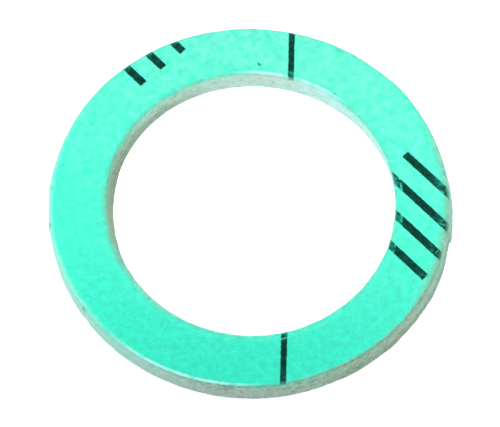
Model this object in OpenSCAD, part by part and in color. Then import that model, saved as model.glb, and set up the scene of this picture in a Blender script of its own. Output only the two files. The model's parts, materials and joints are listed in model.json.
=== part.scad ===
// Flat ring gasket, die-cut in one stroke from compressed fibre sheet.
// Lies on its back face: origin at the centre of the bore on that face, +Z up to the printed face.

/* [Ring] */
// Diameter of the bore
bore_d = 22; // [8:0.5:24]
// Outer diameter of the ring
outer_d = 30; // [28:0.5:60]
// Thickness of the sheet
sheet_t = 2; // [1:0.1:5]

/* [Cut edges] */
// Radius that the die rolls over the printed face's two edges as it enters
face_roll_r = 0.2; // [0.05:0.01:0.3]
// Radius left on the back face's two edges where the die leaves
back_break_r = 0.08; // [0.02:0.01:0.3]
// Width of the lip that the die presses down along the bore, out to its crease
lip_w = 0.55; // [0.35:0.05:0.8]
// Drop of that lip at the bore
lip_drop = 0.02; // [0.01:0.01:0.15]

/* [Hidden] */
$fn = 128;
sheet_colour = [0.33, 0.93, 0.80];
bore_r = bore_d / 2;
// Width of the sealing band between the bore and the rim
band_w = (outer_d - bore_d) / 2;
lip_slope = atan(lip_drop / lip_w);
// How far a cutter reaches past the surfaces that it trims
cut_over = 0.5;

// Waste outside a rounded corner at the origin: one side runs up +Y, the other along +X, falling by slope
module corner_waste(r, slope = 0) {
    centre = [r, r * (1 - sin(slope)) / cos(slope)];
    reach = r + cut_over;
    difference() {
        polygon([
            centre,
            centre - reach * [sin(slope), cos(slope)],
            [-cut_over, centre.y - reach],
            [-cut_over, centre.y]
        ]);
        translate(centre)
            circle(r = r);
    }
}

// Waste above the pressed lip, which falls from its crease to the bore wall at the origin
module lip_waste() {
    over_drop = cut_over * tan(lip_slope);
    polygon([
        [-cut_over, -over_drop],
        [lip_w, lip_drop],
        [lip_w, lip_drop + cut_over],
        [-cut_over, lip_drop + cut_over]
    ]);
}

// Section of the band: the bore wall on the left, the back face along the bottom
module band_section() {
    difference() {
        square([band_w, sheet_t]);
        corner_waste(back_break_r);
        translate([band_w, 0])
            mirror([1, 0])
                corner_waste(back_break_r);
        translate([band_w, sheet_t])
            rotate(180)
                corner_waste(face_roll_r);
        translate([0, sheet_t - lip_drop]) {
            lip_waste();
            mirror([0, 1])
                corner_waste(face_roll_r, lip_slope);
        }
    }
}

module gasket_ring() {
    color(sheet_colour)
        rotate_extrude()
            translate([bore_r, 0])
                band_section();
}

gasket_ring();
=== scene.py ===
"""Looks of the flat ring gasket: one die-cut ring of compressed fibre sheet, lying on a pale floor."""
import json
import math

import bpy
import numpy as np
from mathutils import Matrix, Vector, noise


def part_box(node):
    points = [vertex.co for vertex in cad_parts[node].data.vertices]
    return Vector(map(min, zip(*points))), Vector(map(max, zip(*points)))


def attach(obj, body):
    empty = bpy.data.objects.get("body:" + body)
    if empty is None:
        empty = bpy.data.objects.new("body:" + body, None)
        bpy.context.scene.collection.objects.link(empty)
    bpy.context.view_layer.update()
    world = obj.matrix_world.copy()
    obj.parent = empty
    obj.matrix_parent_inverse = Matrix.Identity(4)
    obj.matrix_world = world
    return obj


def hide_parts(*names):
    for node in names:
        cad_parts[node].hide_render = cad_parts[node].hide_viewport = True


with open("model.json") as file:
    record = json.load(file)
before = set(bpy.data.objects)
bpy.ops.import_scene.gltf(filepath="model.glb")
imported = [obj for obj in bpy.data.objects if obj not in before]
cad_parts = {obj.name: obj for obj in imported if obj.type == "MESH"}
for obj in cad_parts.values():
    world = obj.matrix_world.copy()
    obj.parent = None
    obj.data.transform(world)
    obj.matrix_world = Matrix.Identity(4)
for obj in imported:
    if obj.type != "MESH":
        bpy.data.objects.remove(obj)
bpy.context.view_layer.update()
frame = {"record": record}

# Sizes of the ring, in millimetres in its own frame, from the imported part
MM = 0.001
low_corner, high_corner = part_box("gasket_ring")
RIM_R = (high_corner[0] - low_corner[0]) / 2 / MM
SHEET_T = (high_corner[2] - low_corner[2]) / MM
BORE_R = next(m["dims"]["r_mm"] for m in frame["record"]["mounts"] if m["name"] == "bore")

# Form of the cut edges, in millimetres, as in the solid
FACE_ROLL = 0.2
BACK_BREAK = 0.08
LIP_W = 0.55
LIP_DROP = 0.02
# How far the photographed cut leans: the back face lies this much further right than the printed face
CUT_LEAN = 0.25
# How much further the rim stands out at the back face than at the printed face
RIM_FLARE = 0.14
# How far the photographed bore stands inside its nominal circle
BORE_INSET = 0.085

# Mesh density: steps round the ring, and along each stretch of the section
ROUND_STEPS = 1024
FLAT_STEPS = 20
ROLL_STEPS = 8
WALL_STEPS = 20
BREAK_STEPS = 3
BACK_STEPS = 8
LIP_STEPS = 5

# Relief, in millimetres: size of the features across the sheet and along its thickness, and their height;
# pits begin at the given level of their noise
STREAK_SIZE, STREAK_LAYER, STREAK_H = 0.7, 0.15, 0.006
GRAIN_SIZE, GRAIN_H = 0.24, 0.016
PIT_SIZE, PIT_LAYER, PIT_LEVEL, PIT_H = 0.5, 0.2, 0.3, 0.06
DIMPLE_SIZE, DIMPLE_H = 0.3, 0.003
SWELL_SIZE, SWELL_H = 2.5, 0.006
WANDER_SIZE, WANDER_H = 5.0, 0.035
RAG_SIZE, RAG_H = 0.8, 0.025

# Flaws of the cut: angle in degrees, reach clockwise and anticlockwise and shift outwards, in millimetres
DIE_JOINT = (-10.6, 2.5, 0.05, -0.14)
RIM_FLAWS = [
    DIE_JOINT,
    (-145.0, 0.25, 0.25, -0.06),
    (38.0, 1.2, 1.2, 0.06),
    (-48.0, 0.8, 0.8, 0.05),
    (-61.0, 0.7, 0.7, 0.05),
    (-53.0, 5.0, 5.0, -0.09),
    (-173.5, 0.4, 0.4, 0.04),
    (178.0, 7.0, 9.0, 0.05),
    (70.0, 10.0, 9.0, -0.035),
    (-155.0, 5.0, 5.0, 0.10),
    (140.0, 9.0, 9.0, 0.04),
    (174.4, 0.8, 0.8, 0.05),
]
BORE_FLAWS = [
    (-138.0, 6.5, 6.0, -0.25),
    (-157.0, 4.0, 4.0, -0.15),
    (-112.0, 5.0, 5.0, -0.02),
    (178.0, 4.0, 5.0, -0.11),
    (72.0, 4.5, 4.0, -0.05),
]
# Flaws of the bore that grow from nothing at the printed face to their full shift at the back face
BORE_FOOT_FLAWS = [(180.0, 5.0, 4.0, -0.17), (155.0, 4.0, 4.0, -0.06)]

# Shared noises of the surface: size of the features in millimetres, detail and roughness
NOISE_MIDDLE = 0.5
FINE_NOISE = (0.11, 3.0, 0.6)
RAGGED_NOISE = (0.45, 3.0, 0.6)
BROAD_NOISE = (1.6, 2.0, 0.5)
THREAD_NOISE = (0.8, 1.0, 0.5)
CORE_NOISE = (0.18, 4.0, 0.65)
# How far edges stray, in millimetres, with the ragged and the fine noise, and with the broad one besides
EDGE_WOBBLE = (0.45, 0.35)
EDGE_BROAD = 0.4

# Mottles: size of the features in millimetres, alike or along each axis, detail, roughness, and the
# levels of the noise between which each rises from 0 to 1
FILM_CLOUD = (0.50, 2.0, 0.5, 0.25, 0.75)
FILM_GRAIN = (0.18, 2.0, 0.6, 0.30, 0.70)
FILM_DULL = (0.45, 3.0, 0.6, 0.34, 0.66)
HIGHLIGHT_BREAKS = (0.9, 2.0, 0.5, 0.40, 0.52)
CRACK_BREAKS = (0.30, 3.0, 0.6, 0.40, 0.60)
INK_PINHOLES = (0.13, 2.0, 0.6, 0.64, 0.76)
INK_SCUFFS = (0.35, 3.0, 0.6, 0.45, 0.65)
INK_SHADES = (0.3, 3.0, 0.6, 0.35, 0.75)
CORE_GRAINS = (0.40, 4.0, 0.7, 0.36, 0.64)
CORE_PATCHES = ((1.1, 1.1, 0.6), 2.0, 0.5, 0.42, 0.62)
CORE_BLOTS = ((0.75, 0.75, 0.5), 3.0, 0.6, 0.52, 0.66)
CORE_PITS = (0.16, 2.0, 0.6, 0.57, 0.68)
WALL_CLOUDS = ((0.9, 0.9, 0.7), 3.0, 0.6, 0.38, 0.62)

# How far in from each edge the finish begins to thin, in millimetres
EDGE_FADE = 0.45
# Where the finish breaks up and where it is gone, in millimetres over the edge: torn off, dragged down
# the wall, or cut clean on the smooth stretches; and the share of dragged finish where it isn't clean
FILM_TORN = (0.15, 0.70)
FILM_DRAGGED = (0.35, 1.40)
FILM_CLEAN = (0.34, 0.54)
DRAGGED_SHARE = 0.45
# How far over the edge the stray of the finish's end is full, in millimetres, and the share of the wobble
# that the smooth stretches follow
FULL_STRAY = 0.35
SMOOTH_STRAY = 0.3
# Heights between which the back face's own finish ends, in millimetres
BACK_FILM_END = (0.01, 0.05)
# Stretches of the two edges that the die has rolled over smoothly, where the finish is cut clean and a
# highlight is painted on it: direction and half span in degrees
SMOOTH_HIGHLIT_RIM = (-110.0, 25.0)
SMOOTH_HIGHLIT_BORE = (72.0, 26.0)
# Where the painted highlight on the finish begins and ends there, in millimetres over the edge; how
# much of it is left at its breaks, and its strength
HIGHLIGHT_START = (0.14, 0.24)
HIGHLIGHT_END = (0.34, 0.55)
HIGHLIGHT_LEFT = 0.4
HIGHLIGHT_STRENGTH = 0.9
# Wear of the finish along the rim: direction and half span in degrees, how far in it reaches in
# millimetres, and how much it takes off
RIM_WEAR = [(-5.0, 36.0, 0.80, 0.85), (-48.0, 36.0, 0.28, 1.0), (-144.0, 26.0, 0.42, 0.50)]
# Where that wear begins to ease, in millimetres in from the nominal rim, below 0 being outside it
WEAR_FULL = -0.05
# Stretches of the rim where a pale sheen is painted on the finish, which is not worn off there, given like
# the wear, and where that begins to ease
RIM_SHEEN = [(-178.0, 48.0, 0.42, 0.38), (-80.0, 45.0, 0.50, 0.10)]
SHEEN_FULL = -0.1

# Share of a sector's half span that is filled evenly
EVEN_SPAN = 0.3
# How far from the bore a point counts as on the rim's side, beginning and fully, in millimetres
RIM_SIDE = (0.5, 1.5)
# Tinted stretches of the cut walls, the paler ones painted light where the walls face the light:
# direction that they face and half span in degrees, strength and linear colour
LIT_BORE = (-120.0, 98.0, 0.8, (0.55, 0.76, 0.69))
BRIGHT_LIT_BORE = (-152.0, 62.0, 0.8, (0.53, 0.93, 0.89))
LIT_RIM = (-155.0, 62.0, 0.7, (0.37, 0.77, 0.69))
GREEN_RIM = (-8.0, 30.0, 0.6, (0.15, 0.51, 0.39))
# Strength of such a tint in the gaps between its clouds
CLOUD_GAP = 0.6
# The stretch of the rim whose layers show, and the pale and the dark ones: height, half thickness and
# strength
LAYERED_RIM = (-36.0, 42.0)
PALE_LAYERS = [(1.20, 0.34, 0.25)]
DARK_LAYERS = [(1.00, 2.50, 0.20), (0.55, 0.36, 0.40), (1.85, 0.20, 0.25)]
# Share of a layer's half thickness that is filled evenly, and share of the edges' wobble that it follows
EVEN_LAYER = 0.4
LAYER_WOBBLE = 0.5
# Painted shade that rises from the back edge up the bore's wall, over its whole height where it faces right:
# direction that it faces and half span in degrees, height in millimetres and strength; and half the height
# over which it ends
BORE_SHADE = [(-36.0, 38.0, 0.9, 0.5), (3.0, 40.0, 2.5, 0.6)]
BORE_SHADE_END = 0.25
# One stretch of the rim paler towards its back face, given like the shade on the bore
RIM_PALE_FOOT = (-100.0, 32.0, 1.1, 0.42)
PALE_FOOT_END = 0.35

# Print on the sheet, in millimetres: a ruled line and two blocks of slanted hatch, each block given by
# the gaps between bars where it begins and ends, and by where its bars begin and end
RULE_X = 2.87
RULE_LEAN = math.radians(2.31)
RULE_W = 0.46
HATCH_BLOCKS = [((2, 6), (5.2, 13.5)), ((0, 3), (-16.0, -12.9))]
HATCH_PITCH = 2.05
HATCH_W = 0.62
HATCH_SLANT = math.radians(45)
# How far the ink's outline strays with the ragged and the fine noise, and half the width of its soft edge
INK_BLEED = (0.10, 0.10)
INK_SOFT = 0.03
# Width in from the cut edges over which the ink is worn, how far that strays, and the ink left at the
# edge itself
INK_EDGE_W = 0.30
INK_EDGE_STRAY = 0.35
INK_AT_EDGE = 0.45
# Rubbing of the print: where it is worst along the rim, how far in it reaches, and its strength elsewhere
# on the rim
RUBBED_PRINT = (0.0, 75.0)
RIM_RUB = (0.3, 1.4)
RUB_ELSEWHERE = 0.2
# How far past the lip the rubbing there reaches, and its strength
LIP_RUB_REACH = 0.3
LIP_RUB = 0.6
# How much ink pinholes and scuffs take off
PINHOLE_DEPTH = 0.25
SCUFF_DEPTH = 0.45
# The crack of the ink along the lip's crease: the stretch where it is open, its strength elsewhere, how
# far it strays with the ragged and the fine noise, and half its width where full and where gone
OPEN_CREASE = (-30.0, 90.0)
CRACK_ELSEWHERE = 0.3
CRACK_STRAY = (0.10, 0.05)
CRACK_HALF_W = (0.02, 0.09)

# Dark flecks on the face and nicks in the rim: place, half length and half width in millimetres, turn in
# degrees and darkness
FLECKS = [
    ((0.89, 11.74), 0.27, 0.11, -40.0, 0.60),
    ((-11.33, -1.65), 0.12, 0.10, 0.0, 0.20),
    ((12.05, 8.03), 0.16, 0.12, 30.0, 0.14),
    ((6.62, 9.10), 0.24, 0.12, -36.0, 0.30),
    ((7.18, 12.78), 0.45, 0.12, -29.0, 0.15),
    ((-14.70, 2.30), 0.22, 0.15, 81.0, 0.18),
    ((-14.80, 1.32), 0.24, 0.17, 85.0, 0.22),
    ((-14.90, -1.78), 0.30, 0.19, 97.0, 0.28),
    ((-12.30, -8.66), 0.28, 0.17, 125.0, 0.36),
]
# Pale seam that the joint of the die has left across the rim: place, half sizes and turn as above, and
# strength
SEAM = ((14.74, -3.56), 0.55, 0.09, -13.7, 0.5)
# Where such a mark begins to fade and where it is gone, as shares of its half sizes
MARK_EDGE = (0.5, 1.1)

# Linear colours of the finish, its painted highlight and its ink, of the bare fibre, and of the marks and
# the painted shade on the cut walls
FILM_DARK = (0.004, 0.645, 0.412)
FILM_LIGHT = (0.014, 0.828, 0.597)
FILM_HIGHLIGHT = (0.46, 0.97, 0.90)
FILM_FIBRE = (0.10, 0.80, 0.62)
INK_DARK = (0.001, 0.030, 0.020)
INK_LIGHT = (0.006, 0.075, 0.052)
CORE_DARK = (0.18, 0.34, 0.25)
CORE_LIGHT = (0.42, 0.66, 0.53)
CORE_BROWN = (0.44, 0.52, 0.41)
CORE_BLOT = (0.14, 0.24, 0.17)
CORE_PIT = (0.15, 0.22, 0.16)
LAYER_DARK = (0.19, 0.25, 0.165)
LAYER_PALE = (0.43, 0.54, 0.40)
BORE_SHADE_COLOUR = (0.19, 0.24, 0.155)
PALE_FOOT_COLOUR = (0.52, 0.56, 0.57)
SEAM_COLOUR = (0.62, 0.88, 0.74)
# How strongly grain shows beside the clouds of the finish, then its fibres, and patches, blots and pits
# in the core
GRAIN_SHARE = 0.3
FIBRE_SHARE = 0.18
PATCH_SHARE = 0.45
BLOT_SHARE = 0.35
PIT_SHARE = 0.45
# Half the width of the finish's fibres, where full and where gone, in levels of their noise, and the
# level of the ragged noise by which they show fully
FIBRE_HALF_W = (0.004, 0.018)
FIBRE_LEVEL = 0.12

# Fine relief, in millimetres: of the finish with the ragged and the fine noise, and of the bare fibre
FILM_RELIEF = (0.004, 0.002)
CORE_RELIEF = 0.10

# Roughness of the finish from its glossiest to its dullest places, of its rolled edges, of the bare fibre
# and of ink
FILM_ROUGH = (0.21, 0.30)
ROLLED_ROUGH = 0.18
CORE_ROUGH = 0.92
INK_ROUGH = 0.8
# Strength of reflection of the finish from its glossiest to its dullest places and of the ink, half being
# that of plain plastic
FILM_SHINE = (0.46, 0.30)
INK_SHINE = 0.05

# The photograph's view: angles in degrees, lengths in millimetres
PHOTO_W_PX = 500
VIEW_FOCAL_PX = 2600
VIEW_ELEVATION = 63.95
VIEW_ROLL = 0.7
VIEW_DISTANCE = 194.9
VIEW_OFFSET = (-0.045, 0.915)
SENSOR_W = 36.0
# Nearest and furthest that the camera sees, in metres
VIEW_CLIP = (0.01, 20.0)

# Floor: half its width in metres, its shade, roughness and own radiance
FLOOR_HALF = 3.0
FLOOR_SHADE = 0.92
FLOOR_ROUGH = 0.9
FLOOR_GLOW = 0.56
# Light: radiance of the white surround, and the soft boxes by place and width in metres and power in
# watts
SURROUND = 0.50
SOFT_BOXES = {
    "left_box": ((-0.029, 0.001, 0.025), 0.024, 0.0054),
    "right_box": ((0.028, -0.001, 0.032), 0.024, 0.0064),
    "back_box": ((0.010, 0.102, 0.135), 0.078, 0.1005),
}


def line(start, end, normal, steps):
    """Points along one straight stretch of the section, without its end."""
    share = np.arange(steps)[:, None] / steps
    points = np.array(start) + share * (np.array(end) - np.array(start))
    return np.c_[points, np.tile(normal, (steps, 1))]


def arc(centre, radius, first, last, steps):
    """Points along one round stretch of the section, without its end; angles in degrees."""
    angles = np.radians(first + (last - first) * np.arange(steps) / steps)
    normals = np.c_[np.cos(angles), np.sin(angles)]
    return np.c_[np.array(centre) + radius * normals, normals]


def band_section():
    """The band's section, once round from the crease by rim and back: rows of r, z and the normal."""
    slope = math.atan2(LIP_DROP, LIP_W)
    wall_top = SHEET_T - LIP_DROP - FACE_ROLL * (1 - math.sin(slope)) / math.cos(slope)
    lip_normal = (-math.sin(slope), math.cos(slope))
    lip_start = (BORE_R + FACE_ROLL * (1 + lip_normal[0]), wall_top + FACE_ROLL * lip_normal[1])
    crease = (BORE_R + LIP_W, SHEET_T)
    return np.concatenate([
        line(crease, (RIM_R - FACE_ROLL, SHEET_T), (0, 1), FLAT_STEPS),
        arc((RIM_R - FACE_ROLL, SHEET_T - FACE_ROLL), FACE_ROLL, 90, 0, ROLL_STEPS),
        line((RIM_R, SHEET_T - FACE_ROLL), (RIM_R, BACK_BREAK), (1, 0), WALL_STEPS),
        arc((RIM_R - BACK_BREAK, BACK_BREAK), BACK_BREAK, 0, -90, BREAK_STEPS),
        line((RIM_R - BACK_BREAK, 0), (BORE_R + BACK_BREAK, 0), (0, -1), BACK_STEPS),
        arc((BORE_R + BACK_BREAK, BACK_BREAK), BACK_BREAK, -90, -180, BREAK_STEPS),
        line((BORE_R, BACK_BREAK), (BORE_R, wall_top), (-1, 0), WALL_STEPS),
        arc((BORE_R + FACE_ROLL, wall_top), FACE_ROLL, 180, 90 + math.degrees(slope), ROLL_STEPS),
        line(lip_start, crease, lip_normal, LIP_STEPS),
    ])


def field(points, *size):
    """Smooth noise from -1 to 1 at each point, with features of the given size along each axis."""
    scaled = points / np.array(size)
    return np.array([noise.noise(Vector(p)) for p in scaled.tolist()])


def surface_relief(points, normal_r, normal_z):
    """How far each point stands out along its normal: torn fibre on the cut walls, dimples on the faces."""
    streaks = STREAK_H * field(points, STREAK_SIZE, STREAK_SIZE, STREAK_LAYER)
    grain = GRAIN_H * field(points, GRAIN_SIZE, GRAIN_SIZE, GRAIN_SIZE)
    pits = PIT_H * np.clip(field(points, PIT_SIZE, PIT_SIZE, PIT_LAYER) - PIT_LEVEL, 0, None)
    dimples = DIMPLE_H * field(points, DIMPLE_SIZE, DIMPLE_SIZE, DIMPLE_SIZE)
    swell = SWELL_H * field(points, SWELL_SIZE, SWELL_SIZE, SWELL_SIZE)
    wall_share = normal_r ** 2
    relief = wall_share * (streaks + grain - pits) + (1 - wall_share) * (dimples + swell)
    return np.where(normal_z < 0, -np.abs(relief), relief)


def flaws(angles, radius, given):
    """How far dents and swellings stand out from a circle of the given radius, by angle round the ring."""
    out = np.zeros_like(angles)
    for degrees, clockwise, anticlockwise, shift in given:
        turn = (angles - math.radians(degrees) + math.pi) % (2 * math.pi) - math.pi
        reach = np.where(turn < 0, clockwise, anticlockwise)
        out += shift * np.exp(-(turn * radius / reach) ** 2)
    return out


def outline_wander(angles, radius):
    """How far a cut outline strays from its circle, by angle round the ring."""
    circle = np.c_[radius * np.cos(angles), radius * np.sin(angles), np.full_like(angles, radius)]
    slow = WANDER_H * field(circle, WANDER_SIZE, WANDER_SIZE, WANDER_SIZE)
    return slow + RAG_H * field(circle, RAG_SIZE, RAG_SIZE, RAG_SIZE)


def ring_points():
    """Every vertex of the ring, in millimetres, as an array of angle by section point by axis."""
    section = band_section()
    angles = np.arange(ROUND_STEPS) * 2 * math.pi / ROUND_STEPS
    r, z, normal_r, normal_z = (np.tile(column, (ROUND_STEPS, 1)) for column in section.T)
    turn = np.tile(angles[:, None], (1, len(section)))
    even = np.stack([r * np.cos(turn), r * np.sin(turn), z], axis=-1).reshape(-1, 3)
    relief = surface_relief(even, normal_r.ravel(), normal_z.ravel()).reshape(r.shape)
    rim_share = np.clip((r - BORE_R) / (RIM_R - BORE_R), 0, 1) ** 2
    bore_share = np.clip((RIM_R - r) / (RIM_R - BORE_R), 0, 1) ** 2
    rim_shift = outline_wander(angles, RIM_R) + flaws(angles, RIM_R, RIM_FLAWS)
    bore_shift = outline_wander(angles, BORE_R) + flaws(angles, BORE_R, BORE_FLAWS) - BORE_INSET
    foot_shift = flaws(angles, BORE_R, BORE_FOOT_FLAWS)
    depth = 1 - z / SHEET_T
    r = r + normal_r * relief + rim_share * (rim_shift[:, None] + RIM_FLARE * depth)
    r = r + bore_share * (bore_shift[:, None] + foot_shift[:, None] * depth)
    z = z + normal_z * relief
    lean = CUT_LEAN * (0.5 - z / SHEET_T)
    return np.stack([r * np.cos(turn) + lean, r * np.sin(turn), z], axis=-1)


def ring_mesh():
    """The ring as one closed mesh of four-sided faces."""
    points = ring_points()
    rounds, along = points.shape[:2]
    index = np.arange(rounds * along).reshape(rounds, along)
    next_round = np.roll(index, -1, axis=0)
    corners = (index, np.roll(index, -1, axis=1), np.roll(next_round, -1, axis=1), next_round)
    faces = np.stack(corners, axis=-1).reshape(-1, 4)
    mesh = bpy.data.meshes.new("fibre_ring")
    mesh.from_pydata((points.reshape(-1, 3) * MM).tolist(), [], faces.tolist())
    mesh.polygons.foreach_set("use_smooth", np.ones(len(faces), dtype=bool))
    mesh.validate()
    return mesh


class Graph:
    """Builds one material's nodes: each call adds a node and returns its output."""

    def __init__(self, name):
        self.material = bpy.data.materials.new(name)
        self.material.use_nodes = True
        self.tree = self.material.node_tree
        self.shader = self.tree.nodes["Principled BSDF"]

    def put(self, socket, value):
        """Links an output to the socket, or sets the socket's own value."""
        if isinstance(value, bpy.types.NodeSocket):
            self.tree.links.new(value, socket)
        elif value is not None:
            socket.default_value = value

    def math(self, operation, a, b=None, clamp=False):
        """One arithmetic step."""
        node = self.tree.nodes.new("ShaderNodeMath")
        node.operation = operation
        node.use_clamp = clamp
        for socket, value in zip(node.inputs, (a, b)):
            self.put(socket, value)
        return node.outputs[0]

    def add(self, *values):
        """Sum of the values."""
        total = values[0]
        for value in values[1:]:
            total = self.math("ADD", total, value)
        return total

    def times(self, *values):
        """Product of the values."""
        total = values[0]
        for value in values[1:]:
            total = self.math("MULTIPLY", total, value)
        return total

    def less(self, a, b):
        """a less b."""
        return self.math("SUBTRACT", a, b)

    def most(self, a, b):
        """The larger of a and b."""
        return self.math("MAXIMUM", a, b)

    def flip(self, value):
        """1 less the value, kept between 0 and 1."""
        return self.math("SUBTRACT", 1.0, value, clamp=True)

    def rise(self, value, start, end):
        """0 below start, 1 above end, smooth between."""
        node = self.tree.nodes.new("ShaderNodeMapRange")
        node.interpolation_type = "SMOOTHSTEP"
        for name, given in (("Value", value), ("From Min", start), ("From Max", end)):
            self.put(node.inputs[name], given)
        return node.outputs["Result"]

    def vector(self, operation, a, b):
        """One step of vector arithmetic."""
        node = self.tree.nodes.new("ShaderNodeVectorMath")
        node.operation = operation
        self.put(node.inputs[0], a)
        self.put(node.inputs["Scale"] if operation == "SCALE" else node.inputs[1], b)
        return node.outputs[0]

    def noise(self, place, size, detail, rough):
        """Noise with features of the given size, in millimetres; a triple stretches it along each axis."""
        if isinstance(size, tuple):
            place, scale = self.vector("DIVIDE", place, size), 1.0
        else:
            scale = 1.0 / size
        node = self.tree.nodes.new("ShaderNodeTexNoise")
        self.put(node.inputs["Vector"], place)
        for name, given in (("Scale", scale), ("Detail", detail), ("Roughness", rough)):
            node.inputs[name].default_value = given
        return node.outputs["Fac"]

    def mottle(self, place, size, detail, rough, start, end):
        """Spots of 1 among 0: noise that rises between the two levels."""
        return self.rise(self.noise(place, size, detail, rough), start, end)

    def mix(self, share, a, b):
        """Colour a where share is 0, b where it is 1."""
        node = self.tree.nodes.new("ShaderNodeMix")
        node.data_type = "RGBA"
        self.put(node.inputs[0], share)
        self.put(node.inputs[6], a)
        self.put(node.inputs[7], b)
        return node.outputs[2]

    def blend(self, share, a, b):
        """Number a where share is 0, b where it is 1."""
        node = self.tree.nodes.new("ShaderNodeMix")
        node.data_type = "FLOAT"
        self.put(node.inputs[0], share)
        self.put(node.inputs[2], a)
        self.put(node.inputs[3], b)
        return node.outputs[0]


def linear(red, green, blue):
    """A colour for a socket from linear red, green and blue."""
    return (red, green, blue, 1.0)


class Plan:
    """Places on the ring that its material's parts share, all in millimetres."""

    def __init__(self, g):
        self.g = g
        coordinates = g.tree.nodes.new("ShaderNodeTexCoord").outputs["Object"]
        self.at = g.vector("SCALE", coordinates, 1 / MM)
        split = g.tree.nodes.new("ShaderNodeSeparateXYZ")
        g.put(split.inputs[0], self.at)
        leaning_x, self.y, self.z = split.outputs
        self.x = g.add(leaning_x, g.times(g.less(self.z, SHEET_T / 2), CUT_LEAN / SHEET_T))
        self.r = g.math("SQRT", g.add(g.math("POWER", self.x, 2.0), g.math("POWER", self.y, 2.0)))
        self.from_bore = g.less(self.r, BORE_R - BORE_INSET)
        self.from_rim = g.less(RIM_R, self.r)
        self.from_edge = g.math("MINIMUM", self.from_bore, self.from_rim)
        self.side = g.math("SIGN", g.less(self.from_bore, self.from_rim))
        self.fine = g.less(g.noise(self.at, *FINE_NOISE), NOISE_MIDDLE)
        self.ragged = g.less(g.noise(self.at, *RAGGED_NOISE), NOISE_MIDDLE)
        self.broad = g.less(g.noise(self.at, *BROAD_NOISE), NOISE_MIDDLE)
        self.wobble = self.stray(*EDGE_WOBBLE)
        self.edge_stray = g.add(g.times(self.broad, EDGE_BROAD), self.wobble)
        in_fade = g.most(g.less(EDGE_FADE, self.from_edge), 0.0)
        self.over_edge = g.add(g.less(SHEET_T, self.z), in_fade)
        self.over_roll = g.add(self.over_edge, g.times(self.wobble, SMOOTH_STRAY))

    def stray(self, ragged_share, fine_share):
        """How far an outline strays that follows the two noises by the given shares."""
        return self.g.add(self.g.times(self.ragged, ragged_share), self.g.times(self.fine, fine_share))

    def along(self, degrees):
        """Cosine of the angle between a point's direction from the axis and the given direction."""
        g, angle = self.g, math.radians(degrees)
        reach = g.add(g.times(self.x, math.cos(angle)), g.times(self.y, math.sin(angle)))
        return g.math("DIVIDE", reach, self.r)

    def sector(self, degrees, half_span):
        """1 in the given direction from the axis, falling to 0 at half_span degrees to each side."""
        return self.spread(self.along(degrees), half_span)

    def facing(self, degrees, half_span):
        """1 where the nearer cut wall faces the given direction, falling to 0 half_span degrees from it."""
        return self.spread(self.g.times(self.along(degrees), self.side), half_span)

    def spread(self, cosine, half_span):
        """1 at a span's middle, falling to 0 at its ends, by the cosine of the angle from its middle."""
        end, even = math.radians(half_span), math.radians(half_span * EVEN_SPAN)
        return self.g.rise(cosine, math.cos(end), math.cos(even))

    def by_rim(self, full, reach):
        """1 at the rim, falling raggedly to 0 as far in as the given reach."""
        return self.g.flip(self.g.rise(self.g.add(self.from_rim, self.wobble), full, reach))


def smooth_highlit_edge(g, plan):
    """1 along the stretches of the face's two edges that the die has rolled over smoothly, where a highlight
    is painted.
    """
    by_bore = g.math("LESS_THAN", plan.from_bore, plan.from_rim)
    return g.blend(by_bore, plan.sector(*SMOOTH_HIGHLIT_RIM), plan.sector(*SMOOTH_HIGHLIT_BORE))


def film_cover(g, plan, smooth):
    """1 where the green finish is whole, fading over the rolled edges and down the cut walls."""
    stray = g.times(plan.edge_stray, g.rise(plan.over_edge, 0.0, FULL_STRAY))
    over = g.add(plan.over_edge, stray)
    torn = g.flip(g.rise(over, *FILM_TORN))
    dragged = g.flip(g.rise(over, *FILM_DRAGGED))
    clean = g.flip(g.rise(plan.over_roll, *FILM_CLEAN))
    back_side = g.flip(g.rise(plan.z, *BACK_FILM_END))
    cover = g.most(g.blend(smooth, g.blend(DRAGGED_SHARE, torn, dragged), clean), back_side)
    for direction, half_span, reach, strength in RIM_WEAR:
        worn = g.times(plan.sector(direction, half_span), plan.by_rim(WEAR_FULL, reach), strength)
        cover = g.times(cover, g.flip(worn))
    return cover


def painted_highlight(g, plan, smooth):
    """1 on the smoothly rolled edges of the face, where a pale highlight is painted on the finish."""
    broken = g.blend(g.mottle(plan.at, *HIGHLIGHT_BREAKS), HIGHLIGHT_LEFT, 1.0)
    begun = g.rise(plan.over_roll, *HIGHLIGHT_START)
    ended = g.rise(plan.over_roll, *HIGHLIGHT_END)
    return g.times(smooth, broken, begun, g.flip(ended))


def crease_crack(g, plan):
    """1 along the fine broken crack where the pressed lip folds."""
    off_line = g.math("ABSOLUTE", g.add(plan.from_bore, -LIP_W, plan.stray(*CRACK_STRAY)))
    broken = g.mottle(plan.at, *CRACK_BREAKS)
    opened = g.blend(plan.sector(*OPEN_CREASE), CRACK_ELSEWHERE, 1.0)
    return g.times(g.flip(g.rise(off_line, *CRACK_HALF_W)), broken, opened)


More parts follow.
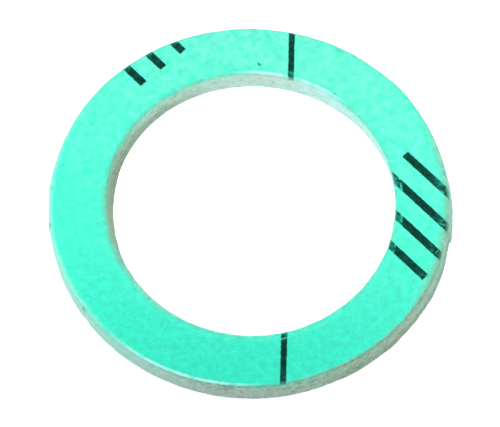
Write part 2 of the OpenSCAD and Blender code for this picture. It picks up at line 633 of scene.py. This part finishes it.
def print_marks(g, plan):
    """1 inside the sheet's printed marks: the ruled line and the hatch blocks."""
    cos_lean, sin_lean = math.cos(RULE_LEAN), math.sin(RULE_LEAN)
    bleed = plan.stray(*INK_BLEED)
    across = g.less(g.times(plan.x, cos_lean), g.times(plan.y, sin_lean))
    along = g.add(g.times(plan.x, sin_lean), g.times(plan.y, cos_lean))

    def between(value, start, end):
        """1 from start to end, with the ink's own ragged, soft edge."""
        off_middle = g.math("ABSOLUTE", g.less(value, (start + end) / 2))
        half_width = (end - start) / 2
        return g.flip(g.rise(g.add(off_middle, bleed), half_width - INK_SOFT, half_width + INK_SOFT))

    rule_middle = RULE_X * cos_lean
    marks = between(across, rule_middle - RULE_W / 2, rule_middle + RULE_W / 2)
    cos_slant, sin_slant = math.cos(HATCH_SLANT), math.sin(HATCH_SLANT)
    over_bars = g.add(g.times(across, cos_slant), g.times(along, sin_slant))
    along_bars = g.less(g.times(across, sin_slant), g.times(along, cos_slant))
    in_pitch = g.math("FLOORED_MODULO", over_bars, HATCH_PITCH)
    bars = between(in_pitch, (HATCH_PITCH - HATCH_W) / 2, (HATCH_PITCH + HATCH_W) / 2)
    for (first_gap, last_gap), (start, end) in HATCH_BLOCKS:
        in_rows = between(over_bars, HATCH_PITCH * first_gap, HATCH_PITCH * last_gap)
        in_reach = between(along_bars, start, end)
        marks = g.most(marks, g.times(bars, in_rows, in_reach))
    return marks


def ink_wear(g, plan):
    """Share of the ink that is left by the wear at the cut edges, pinholes and scuffs."""
    in_edge = g.add(plan.from_edge, g.times(plan.ragged, INK_EDGE_STRAY))
    edge_left = g.blend(g.rise(in_edge, 0.0, INK_EDGE_W), INK_AT_EDGE, 1.0)
    pinholes = g.times(g.mottle(plan.at, *INK_PINHOLES), PINHOLE_DEPTH)
    rim_rub = g.blend(plan.sector(*RUBBED_PRINT), RUB_ELSEWHERE, 1.0)
    by_rim = g.times(g.flip(g.rise(plan.from_rim, *RIM_RUB)), rim_rub)
    on_lip = g.times(g.flip(g.rise(plan.from_bore, LIP_W, LIP_W + LIP_RUB_REACH)), LIP_RUB)
    scuffs = g.times(g.mottle(plan.at, *INK_SCUFFS), g.most(by_rim, on_lip), SCUFF_DEPTH)
    return g.times(edge_left, g.flip(pinholes), g.flip(scuffs))


def ink_cover(g, plan):
    """1 where ink covers the face: the marks, less their wear and the crack along the crease."""
    top_side = g.rise(plan.z, SHEET_T - FACE_ROLL, SHEET_T - FACE_ROLL / 4)
    return g.times(print_marks(g, plan), top_side, ink_wear(g, plan), g.flip(crease_crack(g, plan)))


def fleck(g, plan, place, half_length, half_width, turn, strength):
    """How strong one small oval mark on the upper side is."""
    cos_turn, sin_turn = math.cos(math.radians(turn)), math.sin(math.radians(turn))
    x, y = g.less(plan.x, place[0]), g.less(plan.y, place[1])
    u = g.math("DIVIDE", g.add(g.times(x, cos_turn), g.times(y, sin_turn)), half_length)
    v = g.math("DIVIDE", g.less(g.times(y, cos_turn), g.times(x, sin_turn)), half_width)
    reach = g.math("SQRT", g.add(g.times(u, u), g.times(v, v)))
    on_top = g.rise(plan.z, SHEET_T / 2, SHEET_T - FACE_ROLL)
    return g.times(g.flip(g.rise(g.add(reach, plan.fine), *MARK_EDGE)), on_top, strength)


def film_colour(g, plan, rolled):
    """Mint green finish with a soft mottle, fine grain and a few pale fibres, and pale highlights painted on
    its rolled edges and along the rim.
    """
    shade = g.blend(GRAIN_SHARE, g.mottle(plan.at, *FILM_CLOUD), g.mottle(plan.at, *FILM_GRAIN))
    thread = g.math("ABSOLUTE", g.less(g.noise(plan.at, *THREAD_NOISE), NOISE_MIDDLE))
    fibres = g.times(g.flip(g.rise(thread, *FIBRE_HALF_W)), g.rise(plan.ragged, 0.0, FIBRE_LEVEL))
    # Painted highlight: the pale share where the finish is rolled smoothly
    pale = g.times(rolled, HIGHLIGHT_STRENGTH)
    # Painted sheen along the rim, paling the finish
    for direction, half_span, reach, strength in RIM_SHEEN:
        sheen_share = g.times(plan.sector(direction, half_span), plan.by_rim(SHEEN_FULL, reach), strength)
        pale = g.most(pale, sheen_share)
    colour = g.mix(shade, linear(*FILM_DARK), linear(*FILM_LIGHT))
    colour = g.mix(pale, colour, linear(*FILM_HIGHLIGHT))
    return g.mix(g.times(fibres, FIBRE_SHARE), colour, linear(*FILM_FIBRE))


def fibre_colour(g, plan):
    """Grey-green granular fibre with browner patches and dark blots."""
    patches = g.times(g.mottle(plan.at, *CORE_PATCHES), PATCH_SHARE)
    blots = g.times(g.mottle(plan.at, *CORE_BLOTS), BLOT_SHARE)
    colour = g.mix(g.mottle(plan.at, *CORE_GRAINS), linear(*CORE_DARK), linear(*CORE_LIGHT))
    colour = g.mix(patches, colour, linear(*CORE_BROWN))
    return g.mix(blots, colour, linear(*CORE_BLOT))


def lit_and_tinted_walls(g, plan, in_bore, colour):
    """The given colour with the stretches of the cut walls painted paler as lit, and the greener stretch;
    all but one are cloudy.
    """
    cloudy = g.blend(g.mottle(plan.at, *WALL_CLOUDS), CLOUD_GAP, 1.0)
    cloudy_bore = g.times(in_bore, cloudy)
    on_rim = g.flip(in_bore)
    cloudy_rim = g.times(on_rim, cloudy)
    # The first three rows are painted light, the last a green tint
    rows = (
        (cloudy_bore, LIT_BORE),
        (cloudy_bore, BRIGHT_LIT_BORE),
        (on_rim, LIT_RIM),
        (cloudy_rim, GREEN_RIM),
    )
    for wall, (direction, half_span, strength, tint) in rows:
        share = g.times(plan.facing(direction, half_span), wall, strength)
        colour = g.mix(share, colour, linear(*tint))
    return colour


def layer(g, plan, height, half_height):
    """1 at the given height up a cut wall, falling to 0 half_height above and below it."""
    off_layer = g.math("ABSOLUTE", g.add(plan.z, -height, g.times(plan.wobble, LAYER_WOBBLE)))
    return g.flip(g.rise(off_layer, half_height * EVEN_LAYER, half_height))


def layered_rim(g, plan, in_bore, colour):
    """The given colour with the sheet's dark and pale layers where the rim shows them."""
    layered = g.times(plan.facing(*LAYERED_RIM), g.flip(in_bore))
    for rows, shade in ((DARK_LAYERS, LAYER_DARK), (PALE_LAYERS, LAYER_PALE)):
        for height, half_height, strength in rows:
            share = g.times(layered, layer(g, plan, height, half_height), strength)
            colour = g.mix(share, colour, linear(*shade))
    return colour


def shaded_walls(g, plan, in_bore, colour):
    """The given colour with painted shade rising from the back face up the bore's wall, and the rim paler
    towards its back face.
    """
    # Painted shade on the bore's wall
    rows = [(in_bore, row, BORE_SHADE_END, BORE_SHADE_COLOUR) for row in BORE_SHADE]
    # The rim paler towards its back face
    rows.append((g.flip(in_bore), RIM_PALE_FOOT, PALE_FOOT_END, PALE_FOOT_COLOUR))
    for wall, (direction, half_span, height, strength), end, shade in rows:
        low = g.flip(g.rise(g.add(plan.z, plan.wobble), height - end, height + end))
        share = g.times(plan.facing(direction, half_span), wall, low, strength)
        colour = g.mix(share, colour, linear(*shade))
    return colour


def core_colour(g, plan):
    """Bare fibre of the cut walls, with its tints and painted light, its layers, painted shade on the bore
    and a paler foot on the rim, and dark pits over all.
    """
    in_bore = g.flip(g.rise(plan.from_bore, *RIM_SIDE))
    colour = fibre_colour(g, plan)
    for dressed in (lit_and_tinted_walls, layered_rim, shaded_walls):
        colour = dressed(g, plan, in_bore, colour)
    pits = g.times(g.mottle(plan.at, *CORE_PITS), PIT_SHARE)
    return g.mix(pits, colour, linear(*CORE_PIT))


def sheet_colour(g, plan, film, rolled, ink):
    """Colour of the whole surface: bare fibre, green finish over it and ink on that."""
    ink_colour = g.mix(g.mottle(plan.at, *INK_SHADES), linear(*INK_DARK), linear(*INK_LIGHT))
    sheet = g.mix(film, core_colour(g, plan), film_colour(g, plan, rolled))
    sheet = g.mix(fleck(g, plan, *SEAM), sheet, linear(*SEAM_COLOUR))
    return g.mix(ink, sheet, ink_colour)


def sheet_height(g, plan, film):
    """Height of the fine relief, in millimetres: faint dimples in the finish, coarse grains in the fibre."""
    core_height = g.times(g.noise(plan.at, *CORE_NOISE), CORE_RELIEF)
    return g.blend(film, core_height, plan.stray(*FILM_RELIEF))


def fibre_sheet_material():
    """The whole ring's material: green finish, its print and wear, and the bare fibre where it is cut, with
    painted highlights, light and shade.
    """
    g = Graph("fibre_sheet")
    plan = Plan(g)
    # smooth holds the stretches where the finish is cut clean and a highlight is painted; rolled is that
    # painted highlight
    smooth = smooth_highlit_edge(g, plan)
    film = film_cover(g, plan, smooth)
    rolled = painted_highlight(g, plan, smooth)
    ink = ink_cover(g, plan)
    for row in FLECKS:
        ink = g.most(ink, fleck(g, plan, *row))
    dull = g.mottle(plan.at, *FILM_DULL)
    film_rough = g.blend(rolled, g.blend(dull, *FILM_ROUGH), ROLLED_ROUGH)
    bump = g.tree.nodes.new("ShaderNodeBump")
    bump.inputs["Distance"].default_value = MM
    g.put(bump.inputs["Height"], sheet_height(g, plan, film))
    g.put(g.shader.inputs["Base Color"], sheet_colour(g, plan, film, rolled, ink))
    g.put(g.shader.inputs["Roughness"], g.blend(film, CORE_ROUGH, g.blend(ink, film_rough, INK_ROUGH)))
    g.put(g.shader.inputs["Specular IOR Level"], g.blend(ink, g.blend(dull, *FILM_SHINE), INK_SHINE))
    g.put(g.shader.inputs["Normal"], bump.outputs[0])
    return g.material


def add_ring():
    """The ring itself, standing for its solid."""
    ring = bpy.data.objects.new("fibre_ring", ring_mesh())
    bpy.context.scene.collection.objects.link(ring)
    ring.data.materials.append(fibre_sheet_material())
    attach(ring, "root")
    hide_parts("gasket_ring")


def floor_material():
    """Near-white paper that glows a little, like a light table."""
    material = bpy.data.materials.new("floor_paper")
    material.use_nodes = True
    shader = material.node_tree.nodes["Principled BSDF"]
    shader.inputs["Base Color"].default_value = linear(FLOOR_SHADE, FLOOR_SHADE, FLOOR_SHADE)
    shader.inputs["Roughness"].default_value = FLOOR_ROUGH
    shader.inputs["Emission Color"].default_value = linear(1.0, 1.0, 1.0)
    shader.inputs["Emission Strength"].default_value = FLOOR_GLOW
    return material


def add_floor():
    """A plain floor under the ring."""
    half = FLOOR_HALF
    mesh = bpy.data.meshes.new("floor")
    corners = [(-half, -half, 0), (half, -half, 0), (half, half, 0), (-half, half, 0)]
    mesh.from_pydata(corners, [], [(0, 1, 2, 3)])
    mesh.materials.append(floor_material())
    floor = bpy.data.objects.new("floor", mesh)
    bpy.context.scene.collection.objects.link(floor)


def add_softbox(name, place, width, power):
    """A square area light at the given place, aimed at the ring."""
    data = bpy.data.lights.new(name, "AREA")
    data.size = width
    data.energy = power
    lamp = bpy.data.objects.new(name, data)
    lamp.location = place
    lamp.rotation_euler = Vector(place).to_track_quat("Z", "Y").to_euler()
    bpy.context.scene.collection.objects.link(lamp)


def add_light():
    """Soft studio light: a white surround, a small box over each side and a large one high behind."""
    world = bpy.data.worlds.new("surround")
    world.use_nodes = True
    background = world.node_tree.nodes["Background"]
    background.inputs["Color"].default_value = linear(1.0, 1.0, 1.0)
    background.inputs["Strength"].default_value = SURROUND
    bpy.context.scene.world = world
    for name, row in SOFT_BOXES.items():
        add_softbox(name, *row)


def add_camera():
    """The camera at the photograph's viewing angle."""
    elevation, roll = math.radians(VIEW_ELEVATION), math.radians(VIEW_ROLL)
    level_right = Vector((1, 0, 0))
    level_up = Vector((0, math.sin(elevation), math.cos(elevation)))
    back = Vector((0, -math.cos(elevation), math.sin(elevation)))
    right = math.cos(roll) * level_right - math.sin(roll) * level_up
    up = math.sin(roll) * level_right + math.cos(roll) * level_up
    face_middle = Vector((-CUT_LEAN / 2, 0, SHEET_T))
    place = face_middle + back * VIEW_DISTANCE - right * VIEW_OFFSET[0] - up * VIEW_OFFSET[1]
    data = bpy.data.cameras.new("photo_view")
    data.sensor_width = SENSOR_W
    data.lens = SENSOR_W * VIEW_FOCAL_PX / PHOTO_W_PX
    data.clip_start, data.clip_end = VIEW_CLIP
    camera = bpy.data.objects.new("photo_view", data)
    camera.matrix_world = Matrix.Translation(place * MM) @ Matrix((right, up, back)).transposed().to_4x4()
    bpy.context.scene.collection.objects.link(camera)
    bpy.context.scene.camera = camera


add_camera()
add_ring()
add_floor()
add_light()
bpy.context.scene.view_settings.view_transform = "Standard"

bpy.context.view_layer.update()
